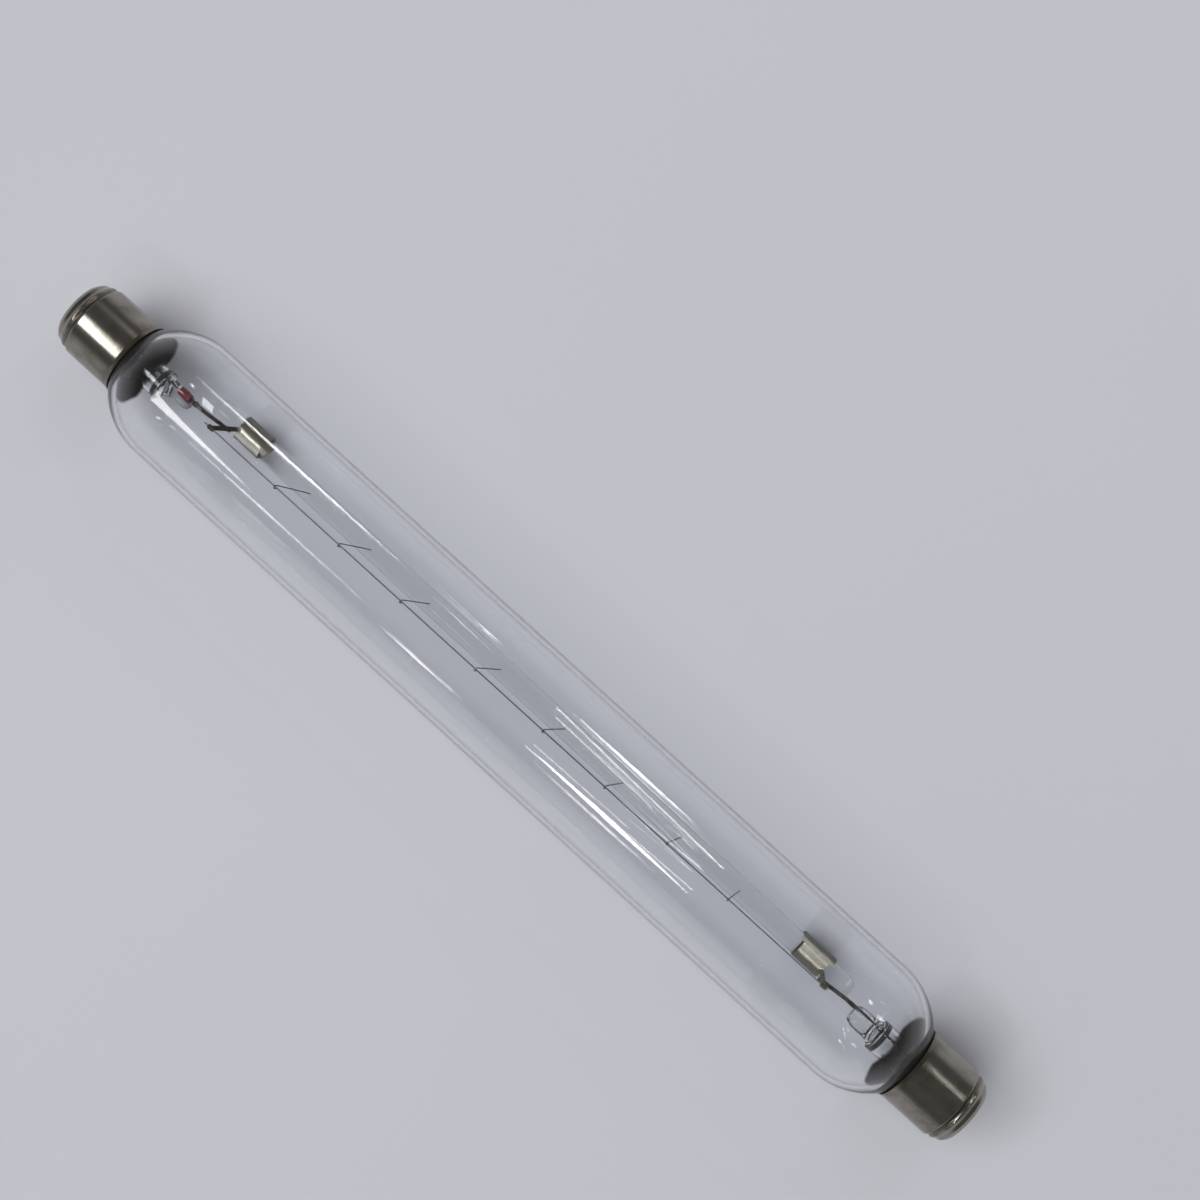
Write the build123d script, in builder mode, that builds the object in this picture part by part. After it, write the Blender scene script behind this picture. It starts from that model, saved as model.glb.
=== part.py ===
"""Clear double-ended tubular filament lamp with a metal shell cap at each end.

X runs along the lamp, Y across it and Z up. The origin is the middle of the lamp.
All dimensions are in millimetres.
"""
import os
from math import asin, atan2, cos, degrees, radians, sin, sqrt

from build123d import *

os.makedirs("parts", exist_ok=True)

# Overall size
overall_length = 221.0
tube_diameter = 25.5
cap_diameter = 15.0

# Glass bulb
glass_wall = 0.9
shoulder_radius = 15.0
inner_shoulder_radius = 13.2
neck_wall = 2.0
neck_round = 0.8
neck_length = 4.55
neck_setback = 0.25

# Shell caps and the solder contact on each
cap_length = 14.3
cap_wall = 0.3
cap_edge_round = 0.4
lip_flare = 0.2
lip_length = 0.8
groove_setback = 3.1
groove_slope = 0.6
groove_depth = 0.6
bead_setback = 2.4
bead_step = 0.3
nose_setback = 1.7
nose_step = 0.75
nose_length = 0.7
nose_taper = 0.15
nose_bevel = 0.7
face_setback = 0.3
face_step = 2.6
solder_height = 0.5
solder_radius = 1.9
solder_plug = 0.4
lead_hole_radius = 0.7

# Cement between cap and neck
cement_gap = 0.2
cement_setback = 0.05
cement_overrun = 2.0

# Glass stems: flared tube, flat press and the bore between them
stem_radius = 3.1
stem_wall = 0.7
stem_rim = 0.8
flare_radius = 14.0
flare_length = 6.9
bore_flare = 2.0
bore_flare_length = 5.6
bore_end = 1.2
bore_round = 2.3
press_length = 6.0
press_shoulder = 2.4
press_nose = 1.0
press_nose_share = 0.72
press_swell = 1.06
press_width = 4.0
press_thickness = 2.3
press_setback = 13.3
press_turn = {"left": 55.0, "right": 0.0}
press_shift = {"left": 0.7, "right": 0.0}
wire_reach = 1.05

# Exhaust tube, drawn off to a closed tip inside the left cap
exhaust_radius = 1.1
exhaust_bore = 0.65
exhaust_seat = 1.0
exhaust_tip_gap = 6.2
exhaust_draw = 2.6
exhaust_y = -0.5
exhaust_z = -1.15

# Wires
lead_radius = 0.4
seal_radius = 0.6
seal_length = 2.6
seal_setback = 0.5
outer_lead_radius = 0.25
outer_lead_bite = 0.2
outer_lead_run = 1.0
lead_bend_setback = 2.4
lead_bend_radius = 1.5
weld_bead_radius = {"left": 0.6, "right": 0.45}
weld_bead_setback = 0.3
weld_bead_length = 1.1
weld_gap = 0.02

# Glass support rod and the rolled sheet sleeves on its ends
rod_radius = 2.2
rod_overhang = 6.6
rod_end_round = 1.7
rod_angle = {"left": 30.4, "right": 21.0}
sleeve_clearance = 0.05
sheet = 0.25
sleeve_length = 6.0
flap_length = {"left": 6.2, "right": 7.8}
flap_start = -50.0
flap_sweep = 122.0
rod_wall_gap = 0.4
sleeve_setback = {"left": 11.1, "right": 10.8}
ear_length = 1.9
ear_width = 1.8
ear_reach = 3.0

# Tab of each sleeve, carrying the lead and crimped on the filament
tab_width = 0.9
tab_root_angle = 105.0
tab_root_inset = 0.55
tab_reach = {"left": 5.4, "right": 3.9}
weld_fraction = {"left": 0.38, "right": 0.55}
weld_overrun = 0.6
crimp_radius = 0.45
crimp_length = 1.3

# Filament coil and its support hooks, each drifted a little from even spacing along the coil
filament_radius = 0.16
filament_tail = {"left": 1.6, "right": 0.4}
hook_radius = 0.11
hook_clearance = 0.12
hook_sweep = 255.0
hook_bite = 0.5
hook_first_gap = 8.0
hook_last_gap = 16.3
hook_drift = (0.0, 0.0, -0.6, 1.95, 2.65, 1.85, 1.0, 0.0)
hook_lean_first = 4.1
hook_lean_last = 1.1

# Sizes that follow from the ones above
half_length = overall_length / 2
tube_radius = tube_diameter / 2
bore_radius = tube_radius - glass_wall
cap_radius = cap_diameter / 2
cap_face = half_length - solder_height
cap_mouth = cap_face - cap_length
neck_radius = cap_radius - cap_wall - cement_gap
neck_corner = cap_mouth + neck_setback
neck_end = neck_corner + neck_length
shoulder_drop = neck_radius - tube_radius + shoulder_radius
shoulder_start = neck_corner - sqrt(shoulder_radius**2 - shoulder_drop**2)
press_tip = cap_mouth - press_setback
press_root = press_tip + press_length
seal_start = press_tip + seal_setback
seal_end = seal_start + seal_length
stem_end = neck_end + stem_rim
dome_radius = (solder_radius**2 + solder_height**2) / (2 * solder_height)
dome_turn = degrees(asin(solder_radius / dome_radius))
stem_bore = stem_radius - stem_wall
sleeve_bore = rod_radius + sleeve_clearance
sleeve_radius = sleeve_bore + sheet
flap_radius = sleeve_radius + sheet
rod_reach = bore_radius - flap_radius - rod_wall_gap
sleeve_station = {side: press_tip - setback for side, setback in sleeve_setback.items()}
tab_tip_station = {side: sleeve_station[side] + reach for side, reach in tab_reach.items()}
eye_radius = filament_radius + hook_clearance + hook_radius
sides = {"left": -1, "right": 1}

# Line of the rod, which runs a little askew from the middle of one sleeve to the middle of the other
rod_point = {}
for side, sign in sides.items():
    rod_turn = radians(rod_angle[side])
    rod_point[side] = Vector(sign * sleeve_station[side], rod_reach * sin(rod_turn), -rod_reach * cos(rod_turn))
rod_run = rod_point["right"] - rod_point["left"]

# Glass bulb: tube, rounded shoulders and a narrow neck at each end, where the wall is drawn thicker
skins = (
    (tube_radius, neck_radius, shoulder_radius, neck_round, Mode.ADD),
    (bore_radius, neck_radius - neck_wall, inner_shoulder_radius, neck_round + neck_wall, Mode.SUBTRACT),
)
with BuildPart() as glass_tube:
    for edge, neck, bend, rounding, mode in skins:
        fall = neck - edge + bend
        reach = sqrt(bend**2 - fall**2)
        corner = (shoulder_start + reach, neck)
        with BuildSketch(Plane.XY) as wall:
            with BuildLine():
                Polyline((0, 0), (0, edge), (shoulder_start, edge))
                CenterArc((shoulder_start, edge - bend), bend, 90, -degrees(atan2(reach, fall)))
                Polyline(corner, (neck_end, neck), (neck_end, 0), (0, 0))
            make_face()
            inner_corner = wall.vertices().sort_by_distance((corner[0], corner[1], 0))[0]
            fillet(inner_corner, radius=rounding)
            mirror(about=Plane.YZ)
        revolve(axis=Axis.X, mode=mode)
glass_tube.part.label = "glass_tube"
export_step(glass_tube.part, "parts/glass_tube.step")

caps = {}
stems = {}
sleeves = {}
for side, sign in sides.items():
    lathe = Plane(origin=(0, 0, 0), x_dir=(sign, 0, 0), z_dir=(0, 0, 1))

    # Shell cap: flared lip, plain barrel, groove, bead and rounded end with a lead hole
    with BuildPart() as cap:
        with BuildSketch(lathe):
            with BuildLine():
                FilletPolyline(
                    (cap_mouth, cap_radius + lip_flare),
                    (cap_mouth + lip_length, cap_radius),
                    (cap_face - groove_setback - groove_slope, cap_radius),
                    (cap_face - groove_setback, cap_radius - groove_depth),
                    (cap_face - bead_setback, cap_radius - bead_step),
                    (cap_face - nose_setback, cap_radius - nose_step),
                    (cap_face - nose_setback + nose_length, cap_radius - nose_step - nose_taper),
                    (cap_face - face_setback, cap_radius - nose_step - nose_taper - nose_bevel),
                    (cap_face, cap_radius - face_step),
                    (cap_face, lead_hole_radius),
                    radius=cap_edge_round,
                )
                offset(amount=cap_wall, side=Side.RIGHT)
            make_face()
        revolve(axis=Axis.X)
    caps[side] = cap.part
    cap.part.label = f"cap_{side}"
    export_step(cap.part, f"parts/cap_{side}.step")

    # Press and wire positions of this end
    wide = (0, cos(radians(press_turn[side])), sin(radians(press_turn[side])))
    wire_y = press_shift[side] + wire_reach * wide[1]
    wire_z = wire_reach * wide[2]

    # Glass stem: rim sealed to the neck, flared tube, flat press round the seal wire
    with BuildPart() as stem:
        with BuildSketch(lathe):
            with BuildLine():
                tube_line = Polyline(
                    (stem_end, 0),
                    (press_root, 0),
                    (press_root, stem_radius),
                    (neck_end - flare_length, stem_radius),
                )
                flare_rise = sqrt(flare_radius**2 - flare_length**2)
                flare_turn = degrees(atan2(flare_length, flare_rise))
                flare_line = JernArc(tube_line @ 1, (1, 0), flare_radius, flare_turn)
                Polyline(flare_line @ 1, (neck_end, neck_radius), (stem_end, neck_radius), (stem_end, 0))
            make_face()
        revolve(axis=Axis.X)
        with BuildSketch(Plane(origin=(sign * press_root, 0, 0), x_dir=wide, z_dir=(sign, 0, 0))):
            Circle(stem_radius)
        for station, grow in (
            (press_root - press_shoulder, press_swell),
            (press_tip + press_nose, 1.0),
            (press_tip, press_nose_share),
        ):
            middle = (sign * station, press_shift[side], 0)
            with BuildSketch(Plane(origin=middle, x_dir=wide, z_dir=(sign, 0, 0))):
                Ellipse(press_width / 2 * grow, press_thickness / 2 * grow)
        loft()
        with BuildSketch(lathe):
            with BuildLine():
                FilletPolyline(
                    (press_root - bore_end, 0),
                    (press_root - bore_end, stem_bore),
                    (neck_end - bore_flare_length, stem_bore),
                    (stem_end, stem_bore + bore_flare),
                    radius=bore_round,
                )
                Polyline((stem_end, stem_bore + bore_flare), (stem_end, 0), (press_root - bore_end, 0))
            make_face()
        revolve(axis=Axis.X, mode=Mode.SUBTRACT)
        for begin, end, radius in (
            (press_tip - press_nose, seal_start, lead_radius),
            (seal_start, seal_end, seal_radius),
            (seal_end, press_root, outer_lead_radius),
        ):
            hole_plane = Plane(origin=(sign * begin, wire_y, wire_z), x_dir=(0, 1, 0), z_dir=(sign, 0, 0))
            with BuildSketch(hole_plane):
                Circle(radius)
            extrude(amount=end - begin, mode=Mode.SUBTRACT)
        if side == "left":
            vent = (sign * press_tip, exhaust_y, exhaust_z)
            with BuildSketch(Plane(origin=vent, x_dir=(0, 1, 0), z_dir=(sign, 0, 0))):
                Circle(exhaust_bore)
            extrude(amount=press_length + bore_end, mode=Mode.SUBTRACT)
    stems[side] = stem.part
    stem.part.label = f"stem_{side}"
    export_step(stem.part, f"parts/stem_{side}.step")

    # Cement filling the gap from the cap lip back over the neck
    with BuildPart() as cement:
        with BuildSketch(lathe):
            with Locations((cap_mouth + cement_setback, neck_radius - neck_wall / 2)):
                Rectangle(
                    neck_end + cement_overrun - cap_mouth - cement_setback,
                    cap_radius + lip_flare - neck_radius + neck_wall / 2,
                    align=(Align.MIN, Align.MIN),
                )
        revolve(axis=Axis.X)
        with BuildSketch(lathe):
            with BuildLine():
                FilletPolyline(
                    (cap_mouth, cap_radius + lip_flare),
                    (cap_mouth + lip_length, cap_radius),
                    (cap_face, cap_radius),
                    radius=cap_edge_round,
                )
                Polyline((cap_face, cap_radius), (cap_face, cap_diameter), (cap_mouth, cap_diameter))
                Line((cap_mouth, cap_diameter), (cap_mouth, cap_radius + lip_flare))
            make_face()
        revolve(axis=Axis.X, mode=Mode.SUBTRACT)
        add(caps[side], mode=Mode.SUBTRACT)
        add(glass_tube.part, mode=Mode.SUBTRACT)
        add(stems[side], mode=Mode.SUBTRACT)
    cement.part.label = f"cement_{side}"
    export_step(cement.part, f"parts/cement_{side}.step")

    # Seal wire inside the press
    with BuildPart() as seal_wire:
        wire_plane = Plane(origin=(sign * seal_start, wire_y, wire_z), x_dir=(0, 1, 0), z_dir=(sign, 0, 0))
        with BuildSketch(wire_plane):
            Circle(seal_radius)
        extrude(amount=seal_length)
    seal_wire.part.label = f"seal_wire_{side}"
    export_step(seal_wire.part, f"parts/seal_wire_{side}.step")

    # Outer lead from the seal wire through the stem to the end of the cap
    with BuildPart() as outer_lead:
        with BuildLine() as outer_path:
            FilletPolyline(
                (sign * seal_end, wire_y, wire_z),
                (sign * stem_end, wire_y, wire_z),
                (sign * (cap_face - outer_lead_run), 0, 0),
                (sign * (cap_face + outer_lead_bite), 0, 0),
                radius=lead_bend_radius,
            )
        start_plane = Plane(origin=outer_path.line @ 0, x_dir=(0, 1, 0), z_dir=(sign, 0, 0))
        with BuildSketch(start_plane):
            Circle(outer_lead_radius)
        sweep()
    outer_lead.part.label = f"outer_lead_{side}"
    export_step(outer_lead.part, f"parts/outer_lead_{side}.step")

    # Solder contact: a low dome on the cap end with a plug in the lead hole
    with BuildPart() as solder_contact:
        with BuildSketch(lathe):
            with BuildLine():
                CenterArc((half_length - dome_radius, 0), dome_radius, 0, dome_turn)
                Polyline(
                    (half_length, 0),
                    (cap_face + outer_lead_bite, 0),
                    (cap_face + outer_lead_bite, outer_lead_radius),
                    (cap_face - cap_wall - solder_plug, outer_lead_radius),
                    (cap_face - cap_wall - solder_plug, lead_hole_radius),
                    (cap_face, lead_hole_radius),
                    (cap_face, solder_radius),
                )
            make_face()
        revolve(axis=Axis.X)
    solder_contact.part.label = f"solder_contact_{side}"
    export_step(solder_contact.part, f"parts/solder_contact_{side}.step")

    # Tab line from the sleeve to the filament, and the lead that is welded across it
    sleeve_x = rod_point[side].X
    rod_y = rod_point[side].Y
    rod_z = rod_point[side].Z
    sleeve_out = sleeve_x + sign * sleeve_length / 2
    tab_root = Vector(
        sleeve_out - sign * tab_root_inset,
        rod_y + (sleeve_radius - sheet / 4) * cos(radians(tab_root_angle)),
        rod_z + (sleeve_radius - sheet / 4) * sin(radians(tab_root_angle)),
    )
    tab_tip = Vector(sign * tab_tip_station[side], 0, 0)
    tab_run = tab_tip - tab_root
    lead_bend = Vector(sign * (press_tip - lead_bend_setback), wire_y, wire_z)
    weld_point = tab_root + tab_run * weld_fraction[side]
    lead_line = weld_point
    for refine in range(4):
        tab_normal = tab_run.cross((lead_line - lead_bend) * sign).normalized()
        lead_line = weld_point + tab_normal * (lead_radius + sheet / 2 + weld_gap)
    tab_plane = Plane(origin=tab_root, x_dir=tab_normal.cross(tab_run), z_dir=tab_run)
    lead_stop = lead_line + (lead_line - lead_bend).normalized() * weld_overrun

    # Rolled sheet sleeve on the rod: round wrap, overlapping flap, tab and filament crimp
    with BuildPart() as rod_sleeve:
        with BuildSketch(Plane(origin=rod_point[side], x_dir=(0, 1, 0), z_dir=rod_run)):
            Circle(sleeve_radius)
            Circle(sleeve_bore, mode=Mode.SUBTRACT)
        extrude(amount=sleeve_length / 2, both=True)
        with BuildSketch(Plane(origin=rod_point[side], x_dir=(0, 1, 0), z_dir=rod_run)):
            with BuildLine():
                flap_out = CenterArc((0, 0), flap_radius, flap_start, flap_sweep)
                flap_in = CenterArc((0, 0), sleeve_radius - sheet / 5, flap_start, flap_sweep)
                Line(flap_out @ 0, flap_in @ 0)
                Line(flap_out @ 1, flap_in @ 1)
            make_face()
        extrude(amount=flap_length[side] / 2, both=True)
        if side == "left":
            with BuildSketch(Plane.XY.offset(rod_z + sleeve_radius)):
                with BuildLine():
                    Polyline(
                        (sleeve_x + sleeve_length / 2 - sheet, rod_y + ear_width / 2),
                        (sleeve_x + sleeve_length / 2 + ear_length, rod_y + ear_width / 2),
                        (sleeve_x + sleeve_length / 2 + ear_length / 2, rod_y + ear_width / 2 - ear_reach),
                        (sleeve_x + sleeve_length / 2 - sheet, rod_y - ear_width / 2),
                        close=True,
                    )
                make_face()
            extrude(amount=-sheet)
        with BuildSketch(tab_plane):
            Rectangle(tab_width, sheet)
        extrude(amount=tab_run.length)
        crimp_plane = Plane(origin=tab_tip, x_dir=(0, 1, 0), z_dir=(1, 0, 0))
        with BuildSketch(crimp_plane):
            Circle(crimp_radius)
        extrude(amount=crimp_length / 2, both=True)
        with BuildSketch(crimp_plane):
            Circle(filament_radius)
        extrude(amount=crimp_length * 2, both=True, mode=Mode.SUBTRACT)
    sleeves[side] = rod_sleeve.part
    rod_sleeve.part.label = f"rod_sleeve_{side}"
    export_step(rod_sleeve.part, f"parts/rod_sleeve_{side}.step")

    # Inner lead from the press to the weld on the tab, with a butt-weld bead just outside the press
    with BuildPart() as inner_lead:
        bead_start = press_tip - weld_bead_setback
        bead_end = bead_start - weld_bead_length
        with BuildSketch(Plane(origin=(0, wire_y, wire_z), x_dir=(sign, 0, 0), z_dir=(0, 0, 1))):
            with BuildLine():
                Polyline((bead_end, 0), (seal_start, 0), (seal_start, lead_radius), (bead_start, lead_radius))
                ThreePointArc(
                    (bead_start, lead_radius),
                    ((bead_start + bead_end) / 2, weld_bead_radius[side]),
                    (bead_end, lead_radius),
                )
                Line((bead_end, lead_radius), (bead_end, 0))
            make_face()
        revolve(axis=Axis(origin=(0, wire_y, wire_z), direction=(1, 0, 0)))
        with BuildLine() as lead_path:
            FilletPolyline((sign * bead_end, wire_y, wire_z), lead_bend, lead_stop, radius=lead_bend_radius)
        with BuildSketch(Plane(origin=lead_path.line @ 0, x_dir=(0, 1, 0), z_dir=lead_path.line % 0)):
            Circle(lead_radius)
        sweep()
    inner_lead.part.label = f"inner_lead_{side}"
    export_step(inner_lead.part, f"parts/inner_lead_{side}.step")

# Exhaust tube in the left stem, closed at its outer tip
with BuildPart() as exhaust_tube:
    tube_start = press_root - bore_end + exhaust_seat
    tip = cap_face - cap_wall - exhaust_tip_gap
    draw = tip - exhaust_draw
    tip_wall = exhaust_radius - exhaust_bore
    exhaust_plane = Plane(origin=(0, exhaust_y, exhaust_z), x_dir=(-1, 0, 0), z_dir=(0, 0, 1))
    with BuildSketch(exhaust_plane):
        with BuildLine():
            Polyline(
                (draw, exhaust_bore),
                (tube_start, exhaust_bore),
                (tube_start, exhaust_radius),
                (draw, exhaust_radius),
            )
            Spline((draw, exhaust_radius), (tip, 0), tangents=((1, 0), (0, -1)))
            Line((tip, 0), (tip - tip_wall, 0))
            Spline((tip - tip_wall, 0), (draw, exhaust_bore), tangents=((0, 1), (-1, 0)))
        make_face()
    revolve(axis=Axis(origin=(0, exhaust_y, exhaust_z), direction=(1, 0, 0)))
    add(stems["left"], mode=Mode.SUBTRACT)
exhaust_tube.part.label = "exhaust_tube"
export_step(exhaust_tube.part, "parts/exhaust_tube.step")

# Filament coil, drawn as a plain round rod of the coil's outside diameter
with BuildPart() as filament:
    filament_start = -tab_tip_station["left"] - filament_tail["left"]
    filament_end = tab_tip_station["right"] + crimp_length / 2 + filament_tail["right"]
    with BuildSketch(Plane.YZ.offset(filament_start)):
        Circle(filament_radius)
    extrude(amount=filament_end - filament_start)
filament.part.label = "filament"
export_step(filament.part, "parts/filament.step")

# Support hooks: a leg fused into the rod and an eye round the filament
hooks = []
hook_first = -sleeve_station["left"] + sleeve_length / 2 + hook_first_gap
hook_last = sleeve_station["right"] - sleeve_length / 2 - hook_last_gap
for number, drift in enumerate(hook_drift):
    share = number / (len(hook_drift) - 1)
    lean = hook_lean_first + (hook_lean_last - hook_lean_first) * share
    hook_x = hook_first + (hook_last - hook_first) * share + drift
    foot = rod_point["left"] + rod_run * ((hook_x + lean - rod_point["left"].X) / rod_run.X)
    foot_reach = sqrt(foot.Y**2 + foot.Z**2)
    leg_share = 1 - rod_radius / foot_reach
    down = Vector(lean, foot.Y * leg_share, foot.Z * leg_share)
    across = Vector(0, -foot.Z / foot_reach, foot.Y / foot_reach)
    eye_plane = Plane(origin=(hook_x, 0, 0), x_dir=across, z_dir=across.cross(down))
    with BuildPart() as hook:
        with BuildLine(eye_plane) as hook_path:
            leg = Line((eye_radius, down.length + hook_bite), (eye_radius, 0))
            JernArc(leg @ 1, leg % 1, eye_radius, -hook_sweep)
        with BuildSketch(Plane(origin=hook_path.line @ 0, x_dir=across, z_dir=hook_path.line % 0)):
            Circle(hook_radius)
        sweep()
    hooks.append(hook.part)
    hook.part.label = f"support_hook_{number + 1}"
    export_step(hook.part, f"parts/support_hook_{number + 1}.step")

# Glass support rod with the hook legs fused in
with BuildPart() as support_rod:
    rod_start = -(sleeve_station["left"] + sleeve_length / 2 + rod_overhang)
    rod_end = sleeve_station["right"] + sleeve_length / 2 + rod_overhang
    rod_origin = rod_point["left"] + rod_run * ((rod_start - rod_point["left"].X) / rod_run.X)
    with BuildSketch(Plane(origin=rod_origin, x_dir=(0, 1, 0), z_dir=rod_run)):
        Circle(rod_radius)
    extrude(amount=(rod_end - rod_start) * rod_run.length / rod_run.X)
    fillet(support_rod.edges().filter_by(GeomType.CIRCLE), radius=rod_end_round)
    for hook_part in hooks:
        add(hook_part, mode=Mode.SUBTRACT)
support_rod.part.label = "support_rod"
export_step(support_rod.part, "parts/support_rod.step")
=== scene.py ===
"""Clear double-ended tubular filament lamp: smooth glass, wound coil, finishes and a plain studio stage.

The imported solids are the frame. The glass bulb, the seal wires and the filament are made again here as
numpy surfaces in the places of their solids; the other solids stay and are given their finishes.
"""
import math

import bpy
import numpy as np
from bpy.props import FloatProperty, FloatVectorProperty, IntProperty, PointerProperty
from mathutils import Matrix, Vector


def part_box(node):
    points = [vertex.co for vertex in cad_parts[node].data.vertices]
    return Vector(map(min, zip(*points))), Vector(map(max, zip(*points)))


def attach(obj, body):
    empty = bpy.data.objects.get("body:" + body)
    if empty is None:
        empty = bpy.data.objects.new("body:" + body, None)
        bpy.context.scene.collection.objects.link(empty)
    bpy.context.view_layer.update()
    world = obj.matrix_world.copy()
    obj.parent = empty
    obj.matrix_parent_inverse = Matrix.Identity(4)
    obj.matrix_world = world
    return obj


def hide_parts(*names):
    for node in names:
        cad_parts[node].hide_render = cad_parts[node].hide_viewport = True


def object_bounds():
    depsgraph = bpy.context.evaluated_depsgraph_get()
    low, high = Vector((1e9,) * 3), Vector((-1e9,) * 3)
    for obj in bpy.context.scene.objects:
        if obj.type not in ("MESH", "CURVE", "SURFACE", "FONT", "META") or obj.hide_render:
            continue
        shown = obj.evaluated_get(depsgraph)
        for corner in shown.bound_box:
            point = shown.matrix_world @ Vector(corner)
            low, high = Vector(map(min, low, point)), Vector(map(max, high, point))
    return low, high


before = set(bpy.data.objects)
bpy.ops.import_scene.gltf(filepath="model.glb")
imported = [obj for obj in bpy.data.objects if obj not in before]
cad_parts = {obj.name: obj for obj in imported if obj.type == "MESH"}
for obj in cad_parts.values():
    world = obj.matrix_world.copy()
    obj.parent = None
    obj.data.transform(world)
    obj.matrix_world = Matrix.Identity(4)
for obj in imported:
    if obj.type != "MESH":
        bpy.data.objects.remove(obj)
cad_low, cad_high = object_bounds()
glass_low, glass_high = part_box("glass_tube")
coil_low, coil_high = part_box("filament")
cap_low, cap_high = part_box("cap_right")

bl_info = {
    "name": "Tubular lamp",
    "version": (1, 0, 0),
    "blender": (4, 5, 0),
    "location": "3D View > Sidebar > Lamp",
    "description": "Makes the glass, coil, finishes and stage of a double-ended tubular lamp",
    "category": "Add Mesh",
}

SIDES = ("left", "right")
HOOK_COUNT = 8
HOOKS = [f"support_hook_{number}" for number in range(1, HOOK_COUNT + 1)]
# Middle (y, z) of the rod in each sleeve, and lean in degrees of the sleeve's painted highlight line
SLEEVES = {"left": ((0.0044, -0.0075), 38.0), "right": ((0.0031, -0.0081), 0.0)}

# Steps of the surfaces, and the angles in degrees up to which they shade smooth
STRAIGHT_STEPS = 24
SHOULDER_STEPS = 40
NECK_ROUND_STEPS = 16
NECK_STEPS = 6
COIL_STEPS_PER_TURN = 11
COIL_STEPS_AROUND = 6
SEAL_STEPS = 40
SEAL_STEPS_AROUND = 32
SMOOTH_ANGLE = 40.0
COIL_SMOOTH_ANGLE = 80.0

# Places and reaches of the marks in the finishes, in metres, beside one share and one slope. A pair is where
# a mark begins and where it is full.
# The NECK marks place the painted shade on the bulb beside each cap
NECK_SKIN = (0.0939, 0.0945)
NECK_LOBE = (0.0010, 0.0050)
NECK_LOBE_REACH = 0.0007
NECK_WAVE_REACH = 0.0004
NECK_LIP = (0.0940, 0.0958)
NECK_LIP_SHARE = 0.75
NECK_CONE = (0.1038, 0.1042)
NECK_CONE_SLOPE = 1.02
# The RING marks place the painted shade in the bore of each stem
RING_HEIGHT = (-0.0020, -0.0008)
RING_FRONT = (0.0886, 0.0890)
RING_BACK = (0.0896, 0.0899)
RING_EDGE = (0.0025, 0.0027)
MOUTH_DARKENING = (cap_low.x + 0.0002, cap_low.x + 0.0026)
GROOVE_PLACE = cap_high.x - 0.0031
GROOVE_DARKENING = (0.0001, 0.0006)
# Painted highlight along each sleeve: the band across the rod where it begins, is full, fades and ends
HIGHLIGHT_FRONT = (0.0019, 0.0024)
HIGHLIGHT_BACK = (0.0027, 0.0031)
HEAT_HEIGHT = (-0.0058, -0.0034)
HEAT_SIDE = (0.01, -0.01)

# Share of the light, by colour, that passes straight through one skin of glass
CLEAR_LIGHT = (0.955, 0.96, 0.965)

# Relief of the finishes, in metres
GLASS_RIPPLE = 0.0004
PLATE_DENT = 0.00009
CEMENT_GRAIN = 0.00015
WIRE_GRAIN = 0.00004
SHEET_GRAIN = 0.00003


def length(name, description, default):
    """A length property in metres."""
    return FloatProperty(name=name, description=description, default=default, unit="LENGTH", precision=5)


def tint(name, description, default):
    """A colour property."""
    return FloatVectorProperty(
        name=name, description=description, default=default, subtype="COLOR", size=3, min=0.0, max=1.0
    )


class GlassSizes(bpy.types.PropertyGroup):
    """Sizes of the glass bulb."""

    tube_radius: length("Tube radius", "Outside radius of the glass tube", glass_high.z)
    half_length: length("Half length", "Middle of the lamp to the end of the neck", glass_high.x)
    wall: length("Wall", "Thickness of the glass", 0.0009)
    neck_wall: length("Neck wall", "Thickness of the glass where it is drawn in to the neck", 0.002)
    shoulder_radius: length("Shoulder radius", "Outside radius of the rounded shoulder", 0.015)
    shoulder_inner: length("Inner shoulder radius", "Inside radius of the rounded shoulder", 0.0132)
    shoulder_start: length("Shoulder start", "Middle of the lamp to the start of the shoulder", 0.08414)
    neck_radius: length("Neck radius", "Outside radius of the neck, just into the cement", 0.00702)
    neck_round: length("Neck round", "Radius between shoulder and neck", 0.0008)
    steps_around: IntProperty(name="Steps around", description="Faces round the tube", default=224, min=24)


class CoilSizes(bpy.types.PropertyGroup):
    """Sizes of the wound filament and the seal wires."""

    coil_radius: length("Coil radius", "Outside radius of the coil", coil_high.z)
    wire_radius: length("Wire radius", "Radius of the coil's wire", 0.000036)
    pitch: length("Pitch", "Distance from turn to turn", 0.000128)
    seal_cover: length("Seal cover", "How far a seal wire is fused into the glass round it", 0.00002)


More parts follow.
